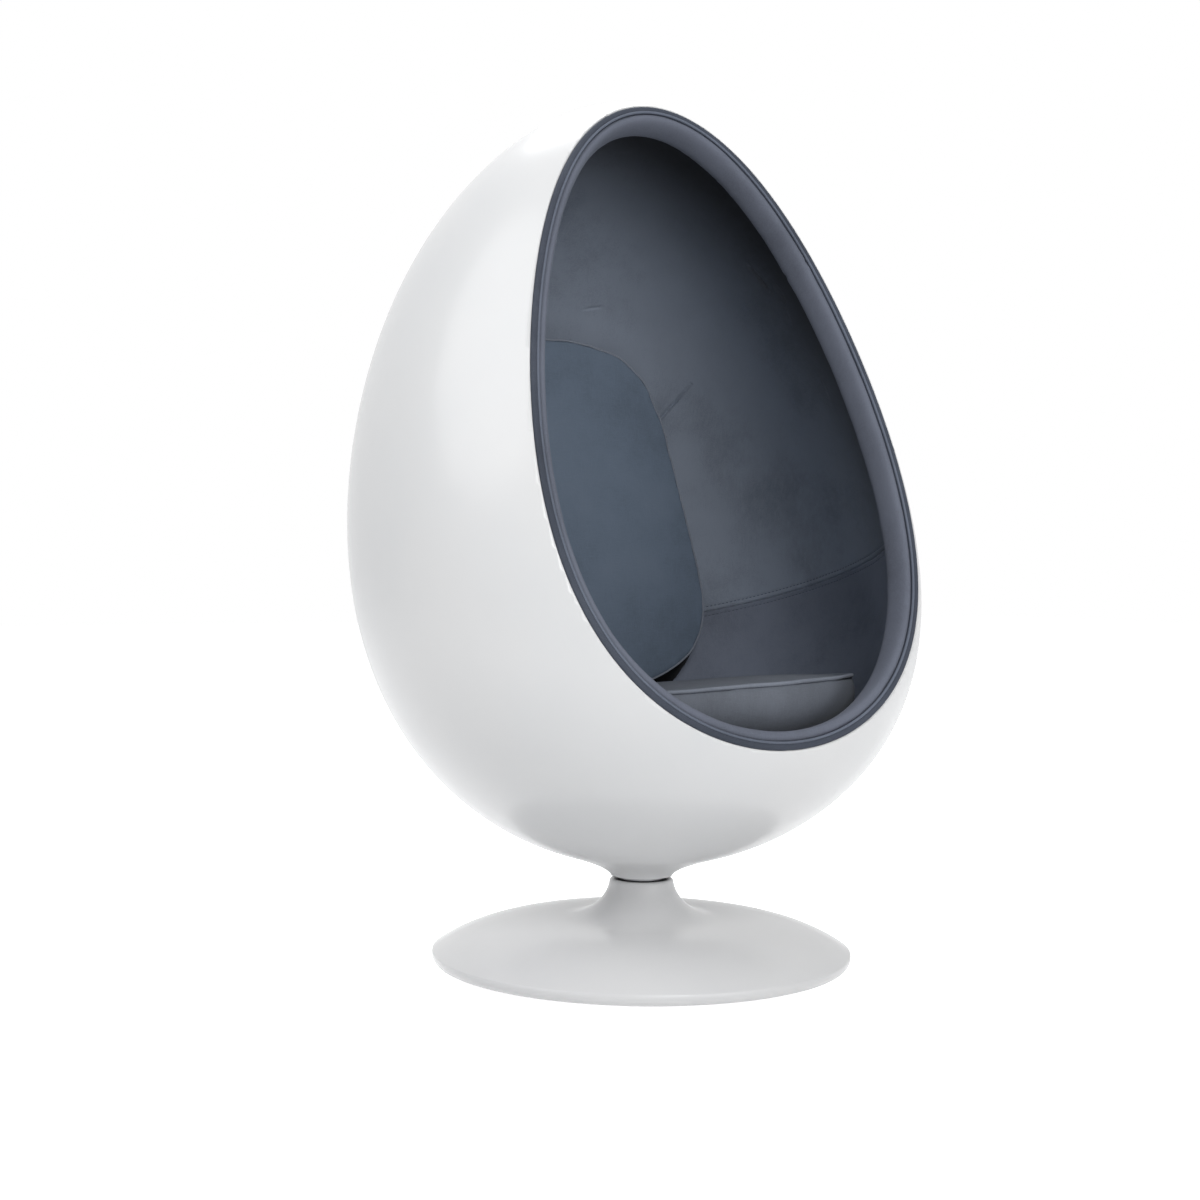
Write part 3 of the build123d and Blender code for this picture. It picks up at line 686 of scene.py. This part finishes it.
def build_lining(name, node, keep_upper):
    turns = np.radians(np.linspace(*LINING_TURNS, LINING_ROWS))
    points = egg_points(turns, LINING_COLUMNS, LINING_FACE)
    mesh = mesh_of(name, points, grid_faces(LINING_ROWS, LINING_COLUMNS))
    edit = bmesh.new()
    edit.from_mesh(mesh)
    front_edge = MOUTH_ORIGIN - MOUTH_NORMAL * (RIM_DEPTH - LINING_OVERLAP)
    cut(edit, front_edge, MOUTH_NORMAL, keep_front=False)
    cut(edit, SEAT_ORIGIN + SEAT_NORMAL * 0.5, SEAT_NORMAL, keep_front=True)
    for offset in SEAM_CUTS:
        cut(edit, SEAM_ORIGIN + SEAM_NORMAL * offset, SEAM_NORMAL)
    cut(edit, SEAM_ORIGIN, SEAM_NORMAL, keep_front=keep_upper)
    if keep_upper:
        close_top(edit, CHAIR_HEIGHT - 36)
        for start, end, _, _ in CREASES:
            refined(edit, start, end, CREASE_REACH)
    bmesh.ops.recalc_face_normals(edit, faces=edit.faces)
    edit.normal_update()
    middle = Vector(POD_MIDDLE * MM)
    facing = sum((middle - f.calc_center_median()).dot(f.normal) > 0 for f in edit.faces)
    if facing < len(edit.faces) / 2:
        bmesh.ops.reverse_faces(edit, faces=edit.faces)
        edit.normal_update()
    places = np.array([v.co for v in edit.verts]) / MM
    relief = lining_relief(places)
    for vert, height in zip(edit.verts, relief):
        vert.co += vert.normal * float(height) * MM
    edit.to_mesh(mesh)
    piece = new_piece(name, mesh, upper_cloth if keep_upper else lower_cloth, "pod", node)
    thickened(piece, LINING_THICK)


build_lining("upper_lining", "lining_upper", True)
build_lining("lower_lining", "lining_lower", False)

STITCH = 4.6  # length of thread that shows
STITCH_PITCH = 7.2
STITCH_RADIUS = 0.7
STITCH_SIDES = 6
STITCH_LIFT = 0.2  # how far the thread's middle lies above the cloth


def seam_line(offset):
    """Points on the lining's face beside the seam, on the plane this far above the seam's."""
    turns = np.linspace(-1.0, 1.4, 1200)
    radius, height, middle = egg_ring(turns, LINING_FACE)
    angle = np.linspace(0, 2 * np.pi, 3000)
    z = np.full_like(angle, SEAM_HEIGHT)
    for _ in range(40):  # moves each point up or down until it lies on the plane
        r, m = np.interp(z, height, radius), np.interp(z, height, middle)
        points = np.stack([r * np.cos(angle), m + r * np.sin(angle), z], -1)
        z = z - ((points - SEAM_ORIGIN) @ SEAM_NORMAL - offset) / SEAM_NORMAL[2]
    return points[(MOUTH_ORIGIN - points) @ MOUTH_NORMAL > RIM_DEPTH + 8]


def stitch_rings(ends, lift):
    """One stitch: a short thread with both ends drawn into the cloth."""
    yield ends[0] - lift
    for share in (0.15, 0.85):
        place = ends[0] + (ends[1] - ends[0]) * share
        for turn in np.linspace(0, 2 * np.pi, STITCH_SIDES, endpoint=False):
            yield place + STITCH_RADIUS * (lift * math.cos(turn) + SEAM_NORMAL * math.sin(turn))
    yield ends[1] - lift


def build_stitches():
    """Two rows of thread that hold the lining's seam down."""
    points, faces = [], []
    sides = STITCH_SIDES
    for offset in (-TOPSTITCH, TOPSTITCH):
        line = seam_line(offset)
        line = line[np.argsort(np.arctan2(line[:, 0], line[:, 1]))]
        run = run_along(line)
        for start in np.arange(STITCH_PITCH, run[-1] - STITCH_PITCH, STITCH_PITCH):
            ends = read_along((start, start + STITCH), run, line)
            lift = np.cross((ends[1] - ends[0]) / STITCH, SEAM_NORMAL)
            if lift @ (POD_MIDDLE - ends[0]) < 0:
                lift = -lift
            raised = ends + lift * (lining_relief(ends)[:, None] + STITCH_LIFT)
            first = len(points)
            last = first + 2 * sides + 1
            points.extend(stitch_rings(raised, lift))
            for k in range(sides):
                a, b = first + 1 + k, first + 1 + (k + 1) % sides
                faces += [(first, b, a), (a, b, b + sides, a + sides), (a + sides, b + sides, last)]
    mesh = mesh_of("seam_stitches", points, faces)
    piece = new_piece("seam_stitches", mesh, stitch_thread, "pod")


build_stitches()


# ---- rim -----------------------------------------------------------------------------------------
RIM_STATIONS = 520
RIM_CORD_RADIUS = 1.9
RIM_CORD_PLACE = 12.0  # from the shell's outer face
ROLL_JOINT = 50.5  # degrees round the mouth's middle, where the roll's cloth is joined
WELT_JOINT = -90.0
WELT_OUTLINE = (  # inwards from the shell's outer face, forwards of the mouth plane
    (2.0, -3.5), (2.2, 0.6), (3.4, 2.2), (5.2, 3.1), (7.4, 3.3), (9.2, 2.8),
    (10.8, 1.8), (12.8, 0.4), (14.6, -2.2), (15.0, -5.5), (9.0, -6.0), (4.0, -5.5),
)
ROLL_OUTLINE = (  # along the sides and the top, where the roll leans back
    (13.2, -9.0), (13.4, -4.6), (14.6, -1.2), (16.6, 0.9), (19.2, 1.7), (22.0, 0.9), (24.6, -1.8),
    (26.6, -6.0), (28.2, -12.0), (29.2, -19.0), (29.7, -27.0), (29.3, -34.0), (27.6, -39.5),
    (24.2, -43.2), (19.5, -44.6), (15.0, -44.0), (13.0, -38.0), (13.0, -22.0),
)
ROLL_OUTLINE_LOW = (  # at the mouth's lowest part, where it bulges up
    (13.2, -9.0), (13.6, -4.6), (15.0, -1.0), (17.6, 1.8), (20.8, 3.2), (24.2, 3.2), (27.2, 1.8),
    (29.2, -1.6), (30.2, -7.0), (30.6, -14.0), (30.2, -22.0), (28.8, -29.0), (26.2, -35.5),
    (22.6, -40.5), (18.0, -43.6), (15.0, -44.0), (13.0, -38.0), (13.0, -22.0),
)
LOW_PART = 150.0  # height over which the roll passes from one outline to the other

rim_points, rim_inwards = mouth_stations(RIM_STATIONS)


def near_joint(angle_degrees, reach):
    """1 at the joint at this angle round the mouth, falling to 0 within reach millimetres."""
    angle = math.radians(angle_degrees)
    edge = mouth_edge(np.array([angle]))[0]
    across, up = edge * math.cos(angle), MOUTH_CENTRE + edge * math.sin(angle)
    place = MOUTH_ORIGIN + ACROSS * across + MOUTH_UP * up
    return np.exp(-((np.linalg.norm(rim_points - place, axis=1) / reach) ** 2))


def rounded(outline, passes=2):
    """A closed outline with its corners cut off again and again."""
    corner = np.array(outline, float)
    for _ in range(passes):
        after = np.roll(corner, -1, axis=0)
        pairs = np.stack([0.75 * corner + 0.25 * after, 0.25 * corner + 0.75 * after], 1)
        corner = pairs.reshape(-1, 2)
    return corner


def build_rim():
    """Roll, welt and cord; the first two ripple like sewn cloth and draw in at their joints."""
    ripple = 1 + 0.030 * wander(rim_points, 60.0, 3.0) + 0.016 * wander(rim_points, 21.0, 4.0)
    roll_swell = ripple - 0.09 * near_joint(ROLL_JOINT, 5.0) + 0.04 * near_joint(ROLL_JOINT, 16.0)
    lowest = rim_points[:, 2].min()
    low = np.clip(1 - (rim_points[:, 2] - lowest) / LOW_PART, 0, 1)[:, None, None]
    outlines = rounded(ROLL_OUTLINE) * (1 - low) + rounded(ROLL_OUTLINE_LOW) * low
    mesh = swept("rim_roll_cover", rim_points, rim_inwards, MOUTH_NORMAL, outlines, roll_swell)
    roll = new_piece("rim_roll_cover", mesh, rim_cloth, "pod", "rim_roll")

    welt_swell = 1 + 0.02 * wander(rim_points, 35.0, 8.0) - 0.12 * near_joint(WELT_JOINT, 3.0)
    outline = rounded(WELT_OUTLINE, 1)
    mesh = swept("rim_welt_strip", rim_points, rim_inwards, MOUTH_NORMAL, outline, welt_swell)
    welt = new_piece("rim_welt_strip", mesh, welt_cloth, "pod", "rim_welt")

    outline = circle(RIM_CORD_RADIUS) + [RIM_CORD_PLACE, RIM_CORD_RADIUS * 0.9]
    mesh = swept("rim_cord", rim_points, rim_inwards, MOUTH_NORMAL, outline)
    cord = new_piece("rim_cord", mesh, cord_cloth, "pod", "rim_piping")


build_rim()


# ---- cushions ------------------------------------------------------------------------------------
def on_plane(origin, across, up, out, flat):
    """Points given as across, up and out of a plane, in the row frame."""
    flat = np.asarray(flat, float)
    return origin + flat[:, :1] * across + flat[:, 1:2] * up + flat[:, 2:3] * out


PRESSURE = 4  # in the cloth solver's own unit
BLOW_FRAMES = 20
CLOTH_QUALITY = 5


def plumped(piece, seam_points, pin_reach, voxel, cap):
    """Fills a closed cover with pressure, its sewn edges held, and keeps the moves small.

    Points within pin_reach of a seam are held, voxel is the cloth's grid, and cap the largest
    move, all in millimetres.
    """
    bpy.context.view_layer.objects.active = piece
    remesh = piece.modifiers.new("remesh", "REMESH")
    remesh.mode = "VOXEL"
    remesh.voxel_size = voxel * MM
    graph = bpy.context.evaluated_depsgraph_get()
    fine = bpy.data.meshes.new_from_object(piece.evaluated_get(graph))
    piece.modifiers.clear()
    piece.data = fine
    rest = np.array([v.co for v in fine.vertices])
    seam = seam_points * MM
    held = []
    for start in range(0, len(rest), 2000):
        part = rest[start : start + 2000]
        away = np.linalg.norm(part[:, None, :] - seam[None, :, :], axis=2).min(axis=1)
        held.extend((np.nonzero(away < pin_reach * MM)[0] + start).tolist())
    group = piece.vertex_groups.new(name="sewn")
    group.add(held, 1.0, "REPLACE")
    cloth = piece.modifiers.new("cloth", "CLOTH")
    cloth.settings.use_pressure = True
    cloth.settings.uniform_pressure_force = PRESSURE
    cloth.settings.effector_weights.gravity = 0
    cloth.settings.vertex_group_mass = "sewn"
    cloth.settings.quality = CLOTH_QUALITY
    scene = bpy.context.scene
    for step in range(1, BLOW_FRAMES + 1):
        scene.frame_set(step)
    graph = bpy.context.evaluated_depsgraph_get()
    blown = piece.evaluated_get(graph).to_mesh()
    moved = np.array([v.co for v in blown.vertices]) - rest
    piece.evaluated_get(graph).to_mesh_clear()
    piece.modifiers.remove(cloth)
    piece.vertex_groups.clear()
    scene.frame_set(1)
    length = np.linalg.norm(moved, axis=1)
    moved *= np.minimum(1, cap * MM / np.maximum(length, 1e-9))[:, None]
    fine.vertices.foreach_set("co", (rest + moved).astype(np.float32).ravel())
    for face in fine.polygons:
        face.use_smooth = True
    fine.update()


def finely(piece):
    sub = piece.modifiers.new("finer", "SUBSURF")
    sub.levels = 1
    sub.render_levels = 1


def ring_at(radius, angle, height):
    """A ring of points on the seat's plane: across, backwards and up."""
    return np.stack([radius * np.cos(angle), radius * np.sin(angle), 0 * angle + height], -1)


def settled(flat):
    """Moves points of the seat cushion with its uneven stuffing, the more the higher they lie."""
    share = np.clip(flat[:, 2] / CUSHION_SIDE, 0, 1)
    flat[:, 2] += share * (CUSHION_ROLL * flat[:, 0] - CUSHION_SINK * flat[:, 1])
    return flat


def on_seat(flat):
    return on_plane(SEAT_ORIGIN, ACROSS, SEAT_BACKWARDS, SEAT_NORMAL, settled(flat))


def on_back(flat):
    return on_plane(BACK_ORIGIN, ACROSS, BACK_UP, BACK_NORMAL, flat)


def at_depth(flat, out):
    """Points of across and up, all this far out of the plane."""
    return np.column_stack([flat, np.full(len(flat), float(out))])


def capped_faces(rows, columns):
    """Faces over rows of points, with the first and the last row closed."""
    faces = grid_faces(rows, columns)
    faces.append(tuple(range(columns))[::-1])
    faces.append(tuple(range((rows - 1) * columns, rows * columns)))
    return faces


def build_seat_cushion():
    columns = 120
    angle = np.linspace(0, 2 * np.pi, columns, endpoint=False)
    foot = [(r, 0.0) for r in (30, 100, 170, 235)]
    t = np.linspace(0, 1, 11)
    side_r = CUSHION_FOOT + (CUSHION_TOP - CUSHION_FOOT) * t + 4 * CUSHION_BULGE * t * (1 - t)
    side = list(zip(side_r, CUSHION_SIDE * t))
    crown_r = np.linspace(CUSHION_TOP, 20, 12)[1:]
    crown = [(r, CUSHION_SIDE + CUSHION_CROWN * (1 - (r / CUSHION_TOP) ** 2)) for r in crown_r]
    rows = [on_seat(ring_at(r, angle, h)) for r, h in foot + side + crown]
    faces = capped_faces(len(rows), columns)
    mesh = mesh_of("seat_cushion_cover", np.concatenate(rows), faces)
    piece = new_piece("seat_cushion_cover", mesh, seat_cloth, "pod", "seat_cushion")
    upper, lower = ring_at(CUSHION_TOP, angle, CUSHION_SIDE), ring_at(CUSHION_FOOT, angle, 0)
    plumped(piece, on_seat(np.vstack([upper, lower])), pin_reach=12.0, voxel=6.0, cap=6.0)
    finely(piece)


def seat_cord(name, radius, height, *nodes):
    angle = np.linspace(0, 2 * np.pi, 260, endpoint=False)
    out = np.cos(angle)[:, None] * ACROSS + np.sin(angle)[:, None] * SEAT_BACKWARDS
    points = on_seat(ring_at(radius, angle, height))
    points = points + SEAT_NORMAL * (0.8 * wander(points, 45.0, 12.0))[:, None]
    mesh = swept(name, points, out, SEAT_NORMAL, circle(CORD))
    piece = new_piece(name, mesh, piping_cloth, "pod", *nodes)


BACK_HALF = (  # half of the pad's front outline: across and up from its foot
    (0, 568), (30, 567.5), (60, 565), (88, 560.5), (116, 553), (144, 540), (166, 522), (185, 501),
    (194, 476), (202, 457), (210, 441), (216, 416), (223, 378), (230, 346), (237, 312), (245, 272),
    (254, 228), (262, 184), (266.5, 150), (266, 118), (261, 92), (249, 67), (237, 50), (222, 37),
    (195, 20), (170, 9), (145, 1), (110, -3), (60, -5), (0, -5),
)
BOX_HALF = (  # half of its rear outline, whose lower corner hangs lower and squarer
    (0, 556), (30, 555), (60, 552), (88, 547), (116, 539), (144, 526), (162, 510), (178, 490),
    (188, 470), (196, 450), (203, 434), (209, 410), (216, 372), (223, 340), (230, 306), (238, 266),
    (247, 222), (255, 178), (260, 144), (264, 112), (267, 80), (268, 60), (268, 40), (256, 27),
    (242, 12), (229, -2), (190, -5), (140, -6), (70, -7), (0, -7),
)
BOX_FRONT = 9.0  # thickness of the light cover's edge, behind which the box, near-black as painted shade, begins
BOX_OVERLAP = 2.0
BOX_INSET = 0.012  # share by which the box's front is smaller than the pad's outline
BOX_BULGE = 0.012  # share by which its sides stand out half way back
REAR_CROWN = 6.0
BACK_CROWN_POWER = 2.6
PUCKER = 2.2
BACK_CORD_RADIUS = 1.7


def back_outline(half, count, pucker_size, smoothing=2):
    """Half an outline mirrored, smoothed and evenly spaced, and its outward directions.

    The edge is puckered, least near its foot.
    """
    right = np.array(half, float)
    left = right[-2:0:-1] * [-1, 1]
    corner = rounded(np.vstack([right, left]), smoothing)
    closed, run = closed_run(corner)
    flat = read_along(np.linspace(0, run[-1], count, endpoint=False), run, closed)
    along = np.roll(flat, -1, axis=0) - np.roll(flat, 1, axis=0)
    along /= np.linalg.norm(along, axis=1)[:, None]
    outward = np.stack([-along[:, 1], along[:, 0]], -1)
    places = at_depth(flat, 0)
    high = np.clip((flat[:, 1] - 300) / 150, 0.35, 1)
    pucker = pucker_size * high * wander(places, 26.0, 2.0)
    return flat + outward * pucker[:, None], outward


def back_solid(name, rows, material):
    """A closed form from rings of across, up and out on the back pad's plane."""
    mesh = mesh_of(name, on_back(np.concatenate(rows)), capped_faces(len(rows), len(rows[0])))
    return new_piece(name, mesh, material, "pod", "back_cushion")


def build_back_cushion():
    flat, outward = back_outline(BACK_HALF, 200, PUCKER)
    middle = flat.mean(axis=0)
    rows = []
    for share in (0.08, 0.3, 0.5, 0.68, 0.82, 0.92, 0.98, 1.0):
        out = BACK_CROWN * (1 - share**BACK_CROWN_POWER)
        rows.append(at_depth(middle + (flat - middle) * share, out))
    rows.append(at_depth(flat + 1.5 * outward, -BOX_FRONT / 2))
    for share in (1.0, 0.9, 0.7, 0.4, 0.08):
        rows.append(at_depth(middle + (flat - middle) * share, -BOX_FRONT))
    piece = back_solid("back_cushion_cover", rows, back_cloth)
    inner = middle + (flat - middle) * 0.7
    held = [at_depth(flat, 0), at_depth(flat, -BOX_FRONT), at_depth(inner, -BOX_FRONT)]
    plumped(piece, on_back(np.vstack(held)), pin_reach=7.0, voxel=4.5, cap=5.0)
    finely(piece)


def build_back_box():
    """The pad's boxing and rear, which show below its rounded corner, near-black as painted shade
    for the hollow behind it.
    """
    count = 160
    front = back_outline(BACK_HALF, count, 0)[0]
    rear = back_outline(BOX_HALF, count, 0, 1)[0]
    front = front + (front.mean(axis=0) - front) * BOX_INSET
    middle = rear.mean(axis=0)
    rows = []
    for share in (0.1, 0.6, 1.0):
        rows.append(at_depth(middle + (front - middle) * share, -BOX_FRONT + BOX_OVERLAP))
    for share in (0.3, 0.6, 0.85, 1.0):
        bulge = 1 + BOX_BULGE * math.sin(math.pi * share)
        ring = middle + (front + (rear - front) * share - middle) * bulge
        rows.append(at_depth(ring, -BACK_THICK * share - BOX_FRONT * (1 - share)))
    for share in (0.97, 0.6, 0.1):
        out = -BACK_THICK - REAR_CROWN * (1 - share)
        rows.append(at_depth(middle + (rear - middle) * share, out))
    piece = back_solid("back_cushion_box", rows, boxing_shade_cloth)


def build_back_cord():
    flat, outward = back_outline(BACK_HALF, 340, PUCKER)
    flat = flat + outward * BACK_CORD_RADIUS * 0.4
    points = on_back(at_depth(flat, -0.8 * BACK_CORD_RADIUS))
    out = outward[:, :1] * ACROSS + outward[:, 1:] * BACK_UP
    mesh = swept("back_cord", points, out, BACK_NORMAL, circle(BACK_CORD_RADIUS))
    piece = new_piece("back_cord", mesh, piping_cloth, "pod", "back_piping")


build_seat_cushion()
seat_cord("seat_cord_upper", CUSHION_TOP + 1.0, CUSHION_SIDE, "seat_piping")
seat_cord("seat_cord_lower", CUSHION_FOOT + 8.0, CORD + 0.5)
build_back_cushion()
build_back_box()
build_back_cord()


# ---- stage, lights and camera --------------------------------------------------------------------
FLOOR_HALF = 14.0
FLOOR_TONE = 0.86
FLOOR_LIFT = 0.88  # glow of the floor for the camera, on top of the light that falls on it
WORLD_DIM = 0.22


def camera_ray_share(tree):
    """1 for what the camera sees directly, by reflection or through glass."""
    path = tree.nodes.new("ShaderNodeLightPath")
    share = path.outputs["Is Camera Ray"]
    for ray in ("Is Glossy Ray", "Is Transmission Ray"):
        either = tree.nodes.new("ShaderNodeMath")
        either.operation = "MAXIMUM"
        tree.links.new(share, either.inputs[0])
        tree.links.new(path.outputs[ray], either.inputs[1])
        share = either.outputs[0]
    return share


def build_stage():
    mesh = bpy.data.meshes.new("floor")
    half = FLOOR_HALF
    corners = [(-half, -half, 0), (half, -half, 0), (half, half, 0), (-half, half, 0)]
    mesh.from_pydata(corners, [], [(0, 1, 2, 3)])
    floor = bpy.data.objects.new("floor", mesh)
    bpy.context.scene.collection.objects.link(floor)
    material = bpy.data.materials.new("floor_white")
    material.use_nodes = True
    tree = material.node_tree
    tree.nodes.clear()
    out = tree.nodes.new("ShaderNodeOutputMaterial")
    plain = tree.nodes.new("ShaderNodeBsdfDiffuse")
    plain.inputs["Color"].default_value = (FLOOR_TONE, FLOOR_TONE, FLOOR_TONE, 1)
    lift = tree.nodes.new("ShaderNodeEmission")
    lift.inputs["Strength"].default_value = FLOOR_LIFT
    both = tree.nodes.new("ShaderNodeAddShader")
    seen = tree.nodes.new("ShaderNodeMixShader")
    tree.links.new(plain.outputs[0], both.inputs[0])
    tree.links.new(lift.outputs[0], both.inputs[1])
    tree.links.new(camera_ray_share(tree), seen.inputs[0])
    tree.links.new(plain.outputs[0], seen.inputs[1])
    tree.links.new(both.outputs[0], seen.inputs[2])
    tree.links.new(seen.outputs[0], out.inputs["Surface"])
    mesh.materials.append(material)


def build_world():
    world = bpy.data.worlds.new("studio")
    bpy.context.scene.world = world
    world.use_nodes = True
    tree = world.node_tree
    tree.nodes.clear()
    out = tree.nodes.new("ShaderNodeOutputWorld")
    dim = tree.nodes.new("ShaderNodeBackground")
    dim.inputs["Color"].default_value = (0.93, 0.96, 1.0, 1)
    dim.inputs["Strength"].default_value = WORLD_DIM
    seen = tree.nodes.new("ShaderNodeBackground")
    seen.inputs["Color"].default_value = WHITE
    seen.inputs["Strength"].default_value = 1.0
    mix = tree.nodes.new("ShaderNodeMixShader")
    tree.links.new(camera_ray_share(tree), mix.inputs[0])
    tree.links.new(dim.outputs[0], mix.inputs[1])
    tree.links.new(seen.outputs[0], mix.inputs[2])
    tree.links.new(mix.outputs[0], out.inputs["Surface"])


def soft_light(name, place, aim, size, power):
    lamp = bpy.data.lights.new(name, "AREA")
    lamp.shape = "DISK"
    lamp.size = size
    lamp.energy = power
    light = bpy.data.objects.new(name, lamp)
    bpy.context.scene.collection.objects.link(light)
    light.location = place
    light.rotation_euler = (Vector(aim) - Vector(place)).to_track_quat("-Z", "Y").to_euler()


CAMERA_PLACE = Vector((-1.4910, -2.3700, 0.6006))
CAMERA_FORWARD = Vector((0.51214, 0.85866, -0.02031))
CAMERA_UP = Vector((0.00285, 0.02195, 0.99975))
CAMERA_LENS = 55.6
SENSOR_WIDTH = 36


def build_camera():
    data = bpy.data.cameras.new("camera")
    data.sensor_fit = "HORIZONTAL"
    data.sensor_width = SENSOR_WIDTH
    data.lens = CAMERA_LENS
    camera = bpy.data.objects.new("camera", data)
    bpy.context.scene.collection.objects.link(camera)
    back = -CAMERA_FORWARD.normalized()
    right = CAMERA_UP.cross(back).normalized()
    up = back.cross(right)
    turn = Matrix((right, up, back)).transposed().to_4x4()
    camera.matrix_world = Matrix.Translation(CAMERA_PLACE) @ turn
    bpy.context.scene.camera = camera


build_stage()
build_world()
soft_light("key", (-3.0, 0.4, 3.3), (0, 0, 0.8), 3.2, 58)
soft_light("top", (0.6, 1.6, 3.8), (0, 0, 0.5), 2.4, 44)
soft_light("front", (-0.9, -3.6, 2.7), (0, 0, 0.7), 1.7, 70)
soft_light("low", (0.7, -3.2, 0.55), (0, 0, 0.25), 1.6, 15)
build_camera()
bpy.context.scene.view_settings.view_transform = "Standard"
